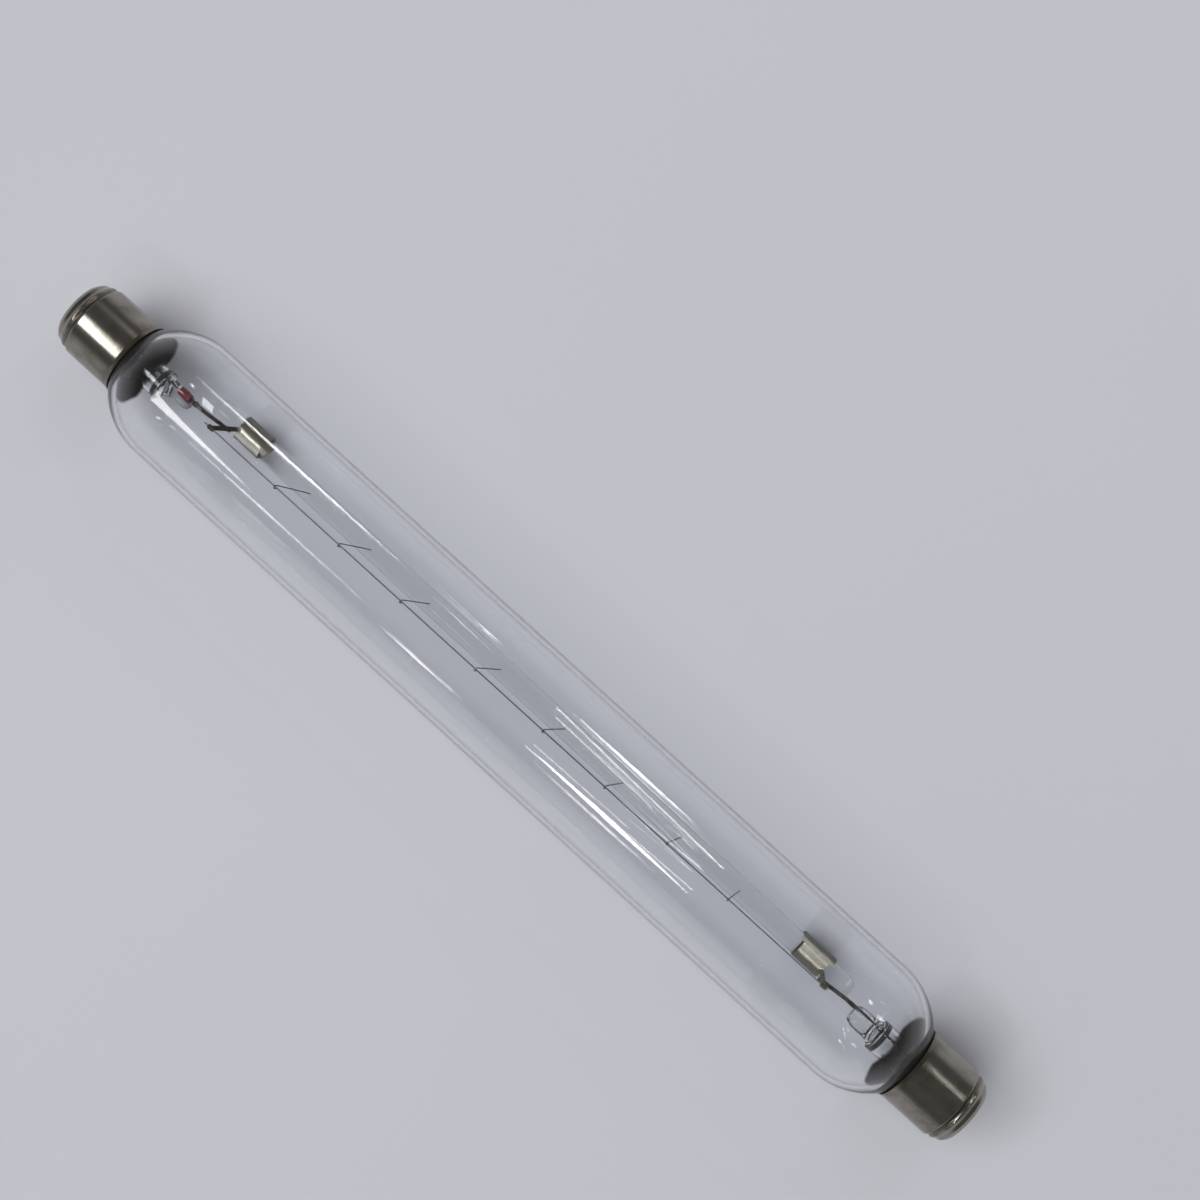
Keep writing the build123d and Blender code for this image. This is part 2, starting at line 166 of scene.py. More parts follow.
class FinishColours(bpy.types.PropertyGroup):
    """Colours of the finishes."""

    bulb_glass: tint("Bulb glass", "Tint of the bulb's glass", (0.975, 0.98, 0.99))
    # Painted shade: the dark colour that the bulb's glass and the rod take edge on, which draws a dark line
    # at each edge
    bulb_rim_shade: tint("Bulb glass, rim", "Tint of the bulb's glass seen edge on", (0.16, 0.17, 0.18))
    # Painted shade: the dark film on the bulb by each cap, standing for the cement seen through the neck
    # glass
    neck_painted_shade: tint("Neck shade", "Dark share of the bulb by the cement", (0.016, 0.011, 0.008))
    # Painted shade: the dark ring in the bore of each stem, standing for the dark edge that refraction draws
    # there
    bore_ring_shade: tint("Bore ring", "Dark ring in the bore of each stem", (0.012, 0.013, 0.013))
    stem_glass: tint("Stem glass", "Tint of the stems' glass", (0.95, 0.97, 0.965))
    # Painted shade: the dark colour that the stems' glass takes edge on
    stem_rim_shade: tint("Stem glass, rim", "Tint of the stems' glass seen edge on", (0.10, 0.12, 0.125))
    plate_bright: tint("Plate, bright", "Plated cap where it is clean", (0.34, 0.318, 0.275))
    plate_dull: tint("Plate, dull", "Plated cap where it is tarnished", (0.18, 0.161, 0.128))
    cement_dark: tint("Cement, dark", "Capping cement in its hollows", (0.010, 0.006, 0.004))
    cement_light: tint("Cement, light", "Capping cement on its grains", (0.050, 0.028, 0.015))
    seal_deep: tint("Seal wire, deep", "Glazed seal wire in its shade", (0.05, 0.006, 0.012))
    seal_bright: tint("Seal wire, bright", "Glazed seal wire at its brightest", (0.26, 0.012, 0.03))
    seal_burnt: tint("Burnt seal wire, deep", "Burnt seal wire in its shade", (0.012, 0.009, 0.008))
    seal_brown: tint("Burnt seal wire, bright", "Burnt seal wire at its brightest", (0.05, 0.032, 0.028))
    copper: tint("Copper", "Outer leads", (0.11, 0.075, 0.058))
    lead_dark: tint("Lead, dark", "Inner leads where they are heat stained", (0.045, 0.036, 0.032))
    lead_light: tint("Lead, light", "Inner leads where they are bare", (0.20, 0.18, 0.165))
    sheet_dark: tint("Sheet, dull", "Sleeves where they are dull", (0.17, 0.165, 0.13))
    # Painted highlight too: the bright band along each sleeve takes this colour
    sheet_bare_and_highlight: tint("Sheet, light", "Sleeves where they are bare", (0.80, 0.77, 0.66))
    sheet_burnt: tint("Sheet, burnt", "Tabs where the filament has stained them", (0.055, 0.047, 0.038))
    solder: tint("Solder", "Contact on each cap end", (0.55, 0.55, 0.54))
    hook: tint("Hook wire", "Support hooks", (0.17, 0.165, 0.16))
    tungsten: tint("Tungsten", "Filament coil", (0.16, 0.16, 0.17))


class StageSettings(bpy.types.PropertyGroup):
    """Floor, light and camera."""

    floor_colour: tint("Floor", "Colour of the floor", (0.50, 0.505, 0.545))
    wall_colour: tint("Walls", "Light of the room near the horizon", (0.46, 0.465, 0.50))
    ceiling_colour: tint("Ceiling", "Light of the room overhead", (0.125, 0.125, 0.125))
    floor_half: length("Floor half width", "Middle of the floor to its edge", 4.0)
    fill_strength: FloatProperty(
        name="Fill light", description="Share of the light that comes from above", default=0.76
    )
    fill_spread: FloatProperty(
        name="Fill spread",
        description="Width of the light from above",
        default=math.radians(55.0),
        subtype="ANGLE",
    )
    fill_from: FloatVectorProperty(
        name="Fill from",
        description="Direction that the light from above comes from",
        default=(-0.32, -0.4, 1.0),
        subtype="DIRECTION",
    )
    panel_distance: length("Panel distance", "Lamp axis to the light panels", 0.6)
    camera_place: FloatVectorProperty(
        name="Camera place",
        description="Where the camera stands",
        default=(0.014337, -0.015, 0.349972),
        subtype="TRANSLATION",
    )
    camera_aim: FloatVectorProperty(
        name="Camera aim",
        description="Point at the middle of the picture",
        default=(-0.001901, 0.024934, 0.0),
        subtype="TRANSLATION",
    )
    camera_right: FloatVectorProperty(
        name="Camera right",
        description="Direction that runs to the right in the picture",
        default=(0.740526, 0.670704, 0.042171),
        subtype="DIRECTION",
    )
    camera_angle: FloatProperty(
        name="Camera angle",
        description="Angle that the picture takes in",
        default=math.radians(34.981),
        subtype="ANGLE",
    )
    camera_clip: length("Camera clip", "Nearest distance that the camera shows", 0.01)


class LampSettings(bpy.types.PropertyGroup):
    """All settings of the lamp."""

    glass: PointerProperty(type=GlassSizes)
    coil: PointerProperty(type=CoilSizes)
    colours: PointerProperty(type=FinishColours)
    stage: PointerProperty(type=StageSettings)


class Socket:
    """One output socket of a finish; arithmetic on it adds Math nodes."""

    def __init__(self, finish, socket):
        self.finish = finish
        self.socket = socket

    def math(self, operation, first, second):
        """A Math node on two values."""
        return self.finish.node("ShaderNodeMath", {"operation": operation}, {0: first, 1: second})

    def __add__(self, other):
        return self.math("ADD", self, other)

    def __radd__(self, other):
        return self.math("ADD", other, self)

    def __sub__(self, other):
        return self.math("SUBTRACT", self, other)

    def __rsub__(self, other):
        return self.math("SUBTRACT", other, self)

    def __mul__(self, other):
        return self.math("MULTIPLY", self, other)

    def __rmul__(self, other):
        return self.math("MULTIPLY", other, self)

    def __abs__(self):
        return self.math("ABSOLUTE", self, 0.0)


class Finish:
    """A node tree of a material or of the world, with one method that adds any node."""

    def __init__(self, owner):
        owner.use_nodes = True
        self.owner = owner
        self.tree = owner.node_tree
        self.tree.nodes.clear()

    def node(self, kind, settings=None, inputs=None, output=0):
        """Adds a node, its settings first and then the values or links of its sockets; gives one output."""
        made = self.tree.nodes.new(kind)
        for key, value in (settings or {}).items():
            setattr(made, key, value)
        for key, value in (inputs or {}).items():
            if isinstance(value, Socket):
                self.tree.links.new(value.socket, made.inputs[key])
            else:
                made.inputs[key].default_value = value
        return Socket(self, made.outputs[output]) if made.outputs else None

    def place(self):
        """Object coordinates, in metres."""
        return self.node("ShaderNodeTexCoord", output="Object")

    def stretched(self, scale):
        """Object coordinates, scaled by one number for each axis."""
        return self.node(
            "ShaderNodeMapping", {"vector_type": "POINT"}, {"Vector": self.place(), "Scale": scale}
        )

    def noise(self, vector, scale, detail, roughness):
        """Cloudy noise from 0 to 1."""
        return self.node(
            "ShaderNodeTexNoise",
            inputs={"Vector": vector, "Scale": scale, "Detail": detail, "Roughness": roughness},
        )

    def axis(self, vector, name):
        """One part of a vector, named X, Y or Z."""
        return self.node("ShaderNodeSeparateXYZ", inputs={"Vector": vector}, output=name)

    def along(self):
        """Distance from the middle of the lamp, along its axis, in metres."""
        return abs(self.axis(self.place(), "X"))

    def from_axis(self):
        """Distance from the lamp's axis, in metres."""
        across = self.stretched((0.0, 1.0, 1.0))
        return self.node("ShaderNodeVectorMath", {"operation": "LENGTH"}, {0: across}, "Value")

    def ease(self, value, low, high):
        """0 below low, 1 above high, and a smooth step between them."""
        return self.node(
            "ShaderNodeMapRange",
            {"interpolation_type": "SMOOTHSTEP"},
            {"Value": value, "From Min": low, "From Max": high},
        )

    def blend(self, share, first, second):
        """A colour that goes from first to second."""
        return self.node("ShaderNodeMix", {"data_type": "RGBA"}, {0: share, 6: first, 7: second}, 2)

    def bump(self, height, strength, distance):
        """A normal that follows a height from 0 to 1, whose full step is the distance."""
        return self.node(
            "ShaderNodeBump", inputs={"Height": height, "Strength": strength, "Distance": distance}
        )

    def mix(self, share, first, second):
        """A surface that goes from the first shader to the second."""
        return self.node("ShaderNodeMixShader", inputs={0: share, 1: first, 2: second})

    def shader(self, **inputs):
        """A Principled shader; a keyword's underscores stand for the blanks in a socket's name."""
        return self.node(
            "ShaderNodeBsdfPrincipled", inputs={key.replace("_", " "): value for key, value in inputs.items()}
        )

    def show(self, shader, kind="ShaderNodeOutputMaterial"):
        """Makes a shader the surface; gives the material or the world."""
        self.node(kind, inputs={"Surface": shader})
        return self.owner


def opaque(colour):
    """A colour with full alpha."""
    return (colour[0], colour[1], colour[2], 1.0)


def scaled(colour, factor):
    """A colour made darker or lighter by one factor, up to white."""
    return tuple(min(1.0, part * factor) for part in colour)


def new_finish(name):
    """The finish of a new material."""
    return Finish(bpy.data.materials.new(name))


def give_finish(node, material):
    """Puts a material on a solid that is carried over."""
    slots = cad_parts[node].material_slots
    if not slots:
        raise RuntimeError(f"{node} has no material slot")
    for slot in slots:
        slot.material = material


def grid_faces(rows, columns, closed):
    """Quads of a grid that wraps along its columns, and along its rows too where it is closed."""
    row = np.arange(rows if closed else rows - 1)[:, None]
    column = np.arange(columns)[None, :]
    after = (column + 1) % columns
    below = (row + 1) % rows
    quads = (
        row * columns + column,
        row * columns + after,
        below * columns + after,
        below * columns + column,
    )
    return np.stack(np.broadcast_arrays(*quads), axis=-1).reshape(-1, 4)


def add_piece(name, points, closed, material, nodes, sharp=SMOOTH_ANGLE):
    """A piece from a grid of points, which rides on the lamp and stands for the named solids."""
    rows, columns = points.shape[:2]
    faces = grid_faces(rows, columns, closed).tolist()
    if not closed:
        first = np.arange(columns)
        faces += [first[::-1].tolist(), (first + (rows - 1) * columns).tolist()]
    mesh = bpy.data.meshes.new(name)
    mesh.from_pydata(points.reshape(-1, 3).tolist(), [], faces)
    mesh.polygons.foreach_set("use_smooth", np.ones(len(mesh.polygons), bool))
    mesh.set_sharp_from_angle(angle=math.radians(sharp))
    mesh.materials.append(material)
    mesh.validate()
    piece = bpy.data.objects.new(name, mesh)
    bpy.context.scene.collection.objects.link(piece)
    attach(piece, "root")
    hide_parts(*nodes)


def arc(centre, radius, begin, end, steps):
    """Points on a circle's arc: centre + radius * (cos a, sin a)."""
    angle = np.radians(np.linspace(begin, end, steps))
    return np.asarray(centre) + radius * np.stack([np.cos(angle), np.sin(angle)], axis=1)


def lathe(profile, steps):
    """Each profile point (x, r) carried round the X axis: (x, r cos a, r sin a)."""
    angle = np.linspace(0.0, 2 * np.pi, steps, endpoint=False)
    along = np.repeat(profile[:, :1], steps, axis=1)
    return np.stack([along, profile[:, 1:] * np.cos(angle), profile[:, 1:] * np.sin(angle)], axis=-1)


def tube(path, radius, steps, guide):
    """A circle carried along a path: p + r (cos a n + sin a b).

    n is the guide made square to the path, and b is square to both.
    """
    along = np.gradient(path, axis=0)
    along /= np.linalg.norm(along, axis=1, keepdims=True)
    normal = guide - (along @ guide)[:, None] * along
    normal /= np.linalg.norm(normal, axis=1, keepdims=True)
    side = np.cross(along, normal)
    angle = np.linspace(0.0, 2 * np.pi, steps, endpoint=False)
    round_it = np.cos(angle)[None, :, None] * normal[:, None] + np.sin(angle)[None, :, None] * side[:, None]
    return path[:, None] + np.broadcast_to(radius, len(path))[:, None, None] * round_it


def bulb_line(sizes, edge, neck, bend, rounding):
    """One skin of the glass from middle to neck end, as (x, r).

    A straight line at the tube's radius, the shoulder's arc, a hollow arc that meets the shoulder where the
    line between the two centres crosses it, and a straight line at the neck's radius.
    """
    centre = np.array([sizes.shoulder_start, edge - bend])
    rise = neck + rounding - centre[1]
    span = bend + rounding
    hollow = centre + [math.sqrt(span**2 - rise**2), rise]
    turn = math.degrees(math.asin(rise / span))
    straight_x = np.linspace(0.0, sizes.shoulder_start, STRAIGHT_STEPS, endpoint=False)
    neck_x = np.linspace(hollow[0], sizes.half_length, NECK_STEPS)[1:]
    return np.concatenate(
        [
            np.stack([straight_x, np.full_like(straight_x, edge)], axis=1),
            arc(centre, bend, 90.0, turn, SHOULDER_STEPS),
            arc(hollow, rounding, 180.0 + turn, 270.0, NECK_ROUND_STEPS)[1:],
            np.stack([neck_x, np.full_like(neck_x, neck)], axis=1),
        ]
    )


def neck_shade(finish):
    """Share of the bulb given painted shade: a dark film on its inner skin past a line that reaches further
    at the sides, which stands for the dark cement seen through the neck glass.

    The inner skin lies below a cone, distance from the axis plus slope times distance along it, which runs
    through the wall of the shoulder. The outer skin gets painted shade too, by less and only beside the cap,
    which dims its reflection there.
    """
    place = finish.place()
    along = finish.along()
    lobes = finish.ease(abs(finish.axis(place, "Y")), *NECK_LOBE)
    wave = finish.noise(place, scale=300.0, detail=2.0, roughness=0.5)
    inside = 1.0 - finish.ease(finish.from_axis() + along * NECK_CONE_SLOPE, *NECK_CONE)
    skin = finish.ease(along + lobes * NECK_LOBE_REACH + wave * NECK_WAVE_REACH, *NECK_SKIN)
    lip = finish.ease(along, *NECK_LIP) * NECK_LIP_SHARE
    return inside * skin + (1.0 - inside) * lip


def bore_shade(finish):
    """Share of a stem given painted shade: an open dark ring in the bore, where it closes, standing for the
    dark edge that refraction draws there.
    """
    along = finish.along()
    upper = finish.ease(finish.axis(finish.place(), "Z"), *RING_HEIGHT)
    band = finish.ease(along, *RING_FRONT) * (1.0 - finish.ease(along, *RING_BACK))
    return upper * band * (1.0 - finish.ease(finish.from_axis(), *RING_EDGE))


def glass_finish(name, colour, rim, index, ripple_scale, ripple_strength, film, dust, shade=None, dark=None):
    """Clear glass: ripples, handling marks, specks of dust, painted shade edge on and painted shade where a
    mask gives it.

    Film and dust are how rough the marks and the specks are. Light from the lamps passes straight through
    the glass, less so edge on, so that what lies behind it is lit.
    """
    finish = new_finish(name)
    ripple = finish.noise(finish.stretched(ripple_scale), scale=1.0, detail=2.0, roughness=0.5)
    smear = finish.noise(finish.stretched((55.0, 120.0, 120.0)), scale=1.0, detail=4.0, roughness=0.6)
    marks = finish.ease(smear, 0.52, 0.78)
    grain = finish.noise(finish.place(), scale=1900.0, detail=1.0, roughness=0.5)
    specks = finish.ease(grain, 0.79, 0.83) * dust
    facing = finish.node("ShaderNodeLayerWeight", inputs={"Blend": 0.5}, output="Facing")
    # Painted shade: edge on, the glass's colour goes to the dark rim shade, so each edge shows a dark line
    edge = finish.ease(facing, 0.6, 0.94)
    glass = finish.shader(
        Base_Color=finish.blend(edge, opaque(colour), opaque(rim)),
        Roughness=marks * film + specks,
        IOR=index,
        Transmission_Weight=1.0,
        Normal=finish.bump(ripple, ripple_strength, GLASS_RIPPLE),
    )
    through = finish.node("ShaderNodeBsdfTransparent", inputs={"Color": opaque(CLEAR_LIGHT)})
    shadow = finish.node("ShaderNodeLightPath", output="Is Shadow Ray")
    diffuse = finish.node("ShaderNodeLightPath", output="Is Diffuse Ray")
    lamp_rays = shadow.math("MAXIMUM", shadow * (1.0 - edge * 0.8), diffuse)
    surface = finish.mix(lamp_rays, glass, through)
    # Painted shade: an opaque dark film mixed in where the mask gives it
    if shade is not None:
        shaded = finish.shader(Base_Color=opaque(dark), Roughness=0.4, Specular_IOR_Level=0.15)
        surface = finish.mix(shade(finish), surface, shaded)
    return finish.show(surface)


def plate_finish(colours):
    """Nickel plate: fine turning lines round the cap, cloudy tarnish, darker by the mouth and in the groove,
    and shallow dents.
    """
    finish = new_finish("nickel_plate")
    lines = finish.noise(finish.stretched((9000.0, 90.0, 90.0)), scale=1.0, detail=2.0, roughness=0.6)
    cloud = finish.noise(finish.place(), scale=210.0, detail=5.0, roughness=0.6)
    fleck = finish.noise(finish.place(), scale=2600.0, detail=2.0, roughness=0.5)
    dent = finish.noise(finish.place(), scale=330.0, detail=2.0, roughness=0.5)
    along = finish.along()
    mouth = 1.0 - finish.ease(along, *MOUTH_DARKENING)
    groove = 1.0 - finish.ease(abs(along - GROOVE_PLACE), *GROOVE_DARKENING)
    stain = finish.ease(cloud * 0.75 + fleck * 0.25 + mouth * 0.16 + groove * 0.3, 0.40, 0.74)
    colour = finish.blend(stain, opaque(colours.plate_bright), opaque(colours.plate_dull))
    rough = 0.15 + stain * 0.10 + lines * 0.04
    bump = finish.bump(dent + lines * 0.012, 0.10, PLATE_DENT)
    return finish.show(finish.shader(Base_Color=colour, Metallic=1.0, Roughness=rough, Normal=bump))


def cement_finish(colours):
    """Baked capping cement: a coarse dark grain with pale specks and open pores."""
    finish = new_finish("capping_cement_grain")
    grain = finish.noise(finish.place(), scale=900.0, detail=6.0, roughness=0.65)
    pores = finish.node(
        "ShaderNodeTexVoronoi", {"feature": "F1"}, {"Vector": finish.place(), "Scale": 1500.0}
    )
    colour = finish.blend(
        finish.ease(grain, 0.36, 0.70), opaque(colours.cement_dark), opaque(colours.cement_light)
    )
    rough = 0.72 + grain * 0.25
    bump = finish.bump(grain + finish.ease(pores, 0.1, 0.5) * 0.6, 0.7, CEMENT_GRAIN)
    return finish.show(finish.shader(Base_Color=colour, Roughness=rough, Specular_IOR_Level=0.2, Normal=bump))


def metal_finish(name, dark, light, scale, rough_low, rough_high, grain, metal=1.0, coat=0.0):
    """Bare metal with cloudy stains from dark to light and a fine drawn grain."""
    finish = new_finish(name)
    cloud = finish.noise(finish.place(), scale=scale, detail=4.0, roughness=0.6)
    fine = finish.noise(finish.place(), scale=scale * 7.0, detail=2.0, roughness=0.5)
    share = finish.ease(cloud * 0.8 + fine * 0.2, 0.34, 0.68)
    return finish.show(
        finish.shader(
            Base_Color=finish.blend(share, opaque(dark), opaque(light)),
            Metallic=metal,
            Roughness=rough_high + share * (rough_low - rough_high),
            Coat_Weight=coat,
            Normal=finish.bump(cloud + fine * 0.5, grain, WIRE_GRAIN),
        )
    )


def sheet_finish(colours, side, middle, lean):
    """Rolled nickel sheet: grain along the roll, a painted highlight line where it leans, and heat stain on
    the tab.

    The painted highlight is where the radius from the rod's middle (y, z) runs at the lean from +Z towards
    -Y.
    """
    finish = new_finish(f"sleeve_sheet_{side}")
    across = finish.axis(finish.place(), "Y") - middle[0]
    height = finish.axis(finish.place(), "Z") - middle[1]
    facing = height * math.cos(math.radians(lean)) - across * math.sin(math.radians(lean))
    # Painted highlight: a bright band along the sleeve, where its colour goes to the light one
    painted_highlight = finish.ease(facing, *HIGHLIGHT_FRONT) * (1.0 - finish.ease(facing, *HIGHLIGHT_BACK))
    cloud = finish.noise(finish.place(), scale=260.0, detail=3.0, roughness=0.5)
    grain = finish.noise(finish.stretched((500.0, 5000.0, 5000.0)), scale=1.0, detail=2.0, roughness=0.5)
    hotter = 0.35 + finish.ease(finish.axis(finish.place(), "X"), *HEAT_SIDE) * 0.65
    heat = finish.ease(finish.axis(finish.place(), "Z"), *HEAT_HEIGHT) * hotter
    # Dull share: cloudy dullness and grain, and all of the sleeve away from the painted highlight
    dull = finish.ease(cloud * 0.5 + grain * 0.3 + (1.0 - painted_highlight) * 0.34, 0.30, 0.66)
    colour = finish.blend(dull, opaque(colours.sheet_bare_and_highlight), opaque(colours.sheet_dark))
    return finish.show(
        finish.shader(
            Base_Color=finish.blend(heat, colour, opaque(colours.sheet_burnt)),
            Metallic=0.7 + heat * 0.3,
            Roughness=0.2 + dull * 0.1 + grain * 0.06 + heat * 0.12,
            Normal=finish.bump(grain, 0.05, SHEET_GRAIN),
        )
    )


class LAMP_OT_glass_bulb(bpy.types.Operator):
    """Makes the glass bulb as one smooth closed wall"""

    bl_idname = "lamp.glass_bulb"
    bl_label = "Glass bulb"

    def execute(self, context):
        settings = context.scene.tubular_lamp
        sizes = settings.glass
        outer = bulb_line(
            sizes, sizes.tube_radius, sizes.neck_radius, sizes.shoulder_radius, sizes.neck_round
        )
        inner = bulb_line(
            sizes,
            sizes.tube_radius - sizes.wall,
            sizes.neck_radius - sizes.neck_wall,
            sizes.shoulder_inner,
            sizes.neck_round + sizes.neck_wall,
        )
        # One closed line: the outer skin from left neck to right neck, then back along the inner skin
        flip = np.array([-1.0, 1.0])
        outer_line = np.concatenate([outer[:0:-1] * flip, outer])
        inner_line = np.concatenate([inner[::-1], inner[1:] * flip])
        points = lathe(np.concatenate([outer_line, inner_line]), sizes.steps_around)
        colours = settings.colours
        material = glass_finish(
            "bulb_glass_clear",
            colours.bulb_glass,
            colours.bulb_rim_shade,
            index=1.5,
            ripple_scale=(18.0, 260.0, 260.0),
            ripple_strength=0.015,
            film=0.015,
            dust=0.5,
            shade=neck_shade,
            dark=colours.neck_painted_shade,
        )
        add_piece("glass_bulb", points, True, material, ["glass_tube"])
        return {"FINISHED"}


class LAMP_OT_filament_coil(bpy.types.Operator):
    """Winds the filament as a fine coil from crimp to crimp"""

    bl_idname = "lamp.filament_coil"
    bl_label = "Filament coil"

    def execute(self, context):
        settings = context.scene.tubular_lamp
        sizes = settings.coil
        # A wire carried along a helix: (start + pitch a / 2 pi, reach cos a, reach sin a)
        turns = (coil_high.x - coil_low.x - 2 * sizes.wire_radius) / sizes.pitch
        angle = np.linspace(0.0, 2 * np.pi * turns, int(turns * COIL_STEPS_PER_TURN))
        reach = sizes.coil_radius - sizes.wire_radius
        path = np.stack(
            [
                coil_low.x + sizes.wire_radius + angle / (2 * np.pi) * sizes.pitch,
                reach * np.cos(angle),
                reach * np.sin(angle),
            ],
            axis=1,
        )
        points = tube(path, sizes.wire_radius, COIL_STEPS_AROUND, np.array([1.0, 0.0, 0.0]))
        colours = settings.colours
        material = metal_finish(
            "tungsten_wire",
            scaled(colours.tungsten, 0.7),
            scaled(colours.tungsten, 1.5),
            scale=700.0,
            rough_low=0.3,
            rough_high=0.5,
            grain=0.2,
        )
        add_piece(
            "filament_coil", points, False, material, ["filament"], COIL_SMOOTH_ANGLE
        )
        return {"FINISHED"}


class LAMP_OT_seal_wires(bpy.types.Operator):
    """Makes the seal wires, red on the left and burnt on the right, fused into the glass of the presses"""

    bl_idname = "lamp.seal_wires"
    bl_label = "Seal wires"

    def execute(self, context):
        settings = context.scene.tubular_lamp
        colours = settings.colours
        # Dark and bright colour of each wire, and its width at both ends as a share of the solid's
        looks = {
            "left": (colours.seal_deep, colours.seal_bright, 1.0, 1.45),
            "right": (colours.seal_burnt, colours.seal_brown, 0.6, 0.6),
        }
        for side, (deep, bright, thin, thick) in looks.items():
            material = metal_finish(
                f"seal_wire_glaze_{side}",
                deep,
                bright,
                scale=900.0,
                rough_low=0.22,
                rough_high=0.4,
                grain=0.25,
                metal=0.25,
                coat=0.6,
            )
            low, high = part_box(f"seal_wire_{side}")
            middle = (low + high) / 2
            # A circle carried along a straight line, whose radius grows evenly from thin to thick
            share = np.linspace(0.0, 1.0, SEAL_STEPS)
            radius = ((high.z - low.z) / 2 + settings.coil.seal_cover) * (thin + (thick - thin) * share)
            along = low.x + (high.x - low.x) * share
            path = np.stack([along, np.full_like(along, middle.y), np.full_like(along, middle.z)], axis=1)
            points = tube(path, radius, SEAL_STEPS_AROUND, np.array([0.0, 0.0, 1.0]))
            add_piece(f"seal_wire_{side}_glazed", points, False, material, [f"seal_wire_{side}"])
        return {"FINISHED"}


class LAMP_OT_glasswork(bpy.types.Operator):
    """Gives the stems, the exhaust tube and the support rod their glass"""

    bl_idname = "lamp.glasswork"
    bl_label = "Stems and rod"

    def execute(self, context):
        colours = context.scene.tubular_lamp.colours
        stem = glass_finish(
            "stem_glass_pressed",
            colours.stem_glass,
            colours.stem_rim_shade,
            index=1.54,
            ripple_scale=(420.0, 420.0, 420.0),
            ripple_strength=0.2,
            film=0.04,
            dust=0.0,
            shade=bore_shade,
            dark=colours.bore_ring_shade,
        )
        rod = glass_finish(
            "rod_glass_drawn",
            colours.stem_glass,
            colours.bulb_rim_shade,
            index=1.52,
            ripple_scale=(18.0, 260.0, 260.0),
            ripple_strength=0.06,
            film=0.02,
            dust=0.0,
        )
        for side in SIDES:
            give_finish(f"stem_{side}", stem)
        for node in ("exhaust_tube", "support_rod"):
            give_finish(node, rod)
        return {"FINISHED"}


class LAMP_OT_shell_caps(bpy.types.Operator):
    """Gives the shell caps, their cement and their solder contacts their finishes"""

    bl_idname = "lamp.shell_caps"
    bl_label = "Shell caps"

    def execute(self, context):
        colours = context.scene.tubular_lamp.colours
        plate = plate_finish(colours)
        cement = cement_finish(colours)
        solder = metal_finish(
            "solder_dull",
            scaled(colours.solder, 0.55),
            scaled(colours.solder, 1.1),
            scale=800.0,
            rough_low=0.24,
            rough_high=0.5,
            grain=0.5,
        )
        for side in SIDES:
            give_finish(f"cap_{side}", plate)
            give_finish(f"cement_{side}", cement)
            give_finish(f"solder_contact_{side}", solder)
        return {"FINISHED"}


class LAMP_OT_metalwork(bpy.types.Operator):
    """Gives the leads, the rod sleeves and the support hooks their metal"""

    bl_idname = "lamp.metalwork"
    bl_label = "Leads, sleeves and hooks"

    def execute(self, context):
        colours = context.scene.tubular_lamp.colours
        copper = metal_finish(
            "copper_wire",
            scaled(colours.copper, 0.5),
            colours.copper,
            scale=900.0,
            rough_low=0.25,
            rough_high=0.45,
            grain=0.2,
        )
        lead = metal_finish(
            "lead_wire",
            colours.lead_dark,
            colours.lead_light,
            scale=650.0,
            rough_low=0.24,
            rough_high=0.46,
            grain=0.3,
        )
        hook = metal_finish(
            "hook_wire",
            scaled(colours.hook, 0.6),
            scaled(colours.hook, 1.4),
            scale=900.0,
            rough_low=0.3,
            rough_high=0.5,
            grain=0.2,
        )
        for side in SIDES:
            give_finish(f"outer_lead_{side}", copper)
            give_finish(f"inner_lead_{side}", lead)
            give_finish(f"rod_sleeve_{side}", sheet_finish(colours, side, *SLEEVES[side]))
        for node in HOOKS:
            give_finish(node, hook)
        return {"FINISHED"}


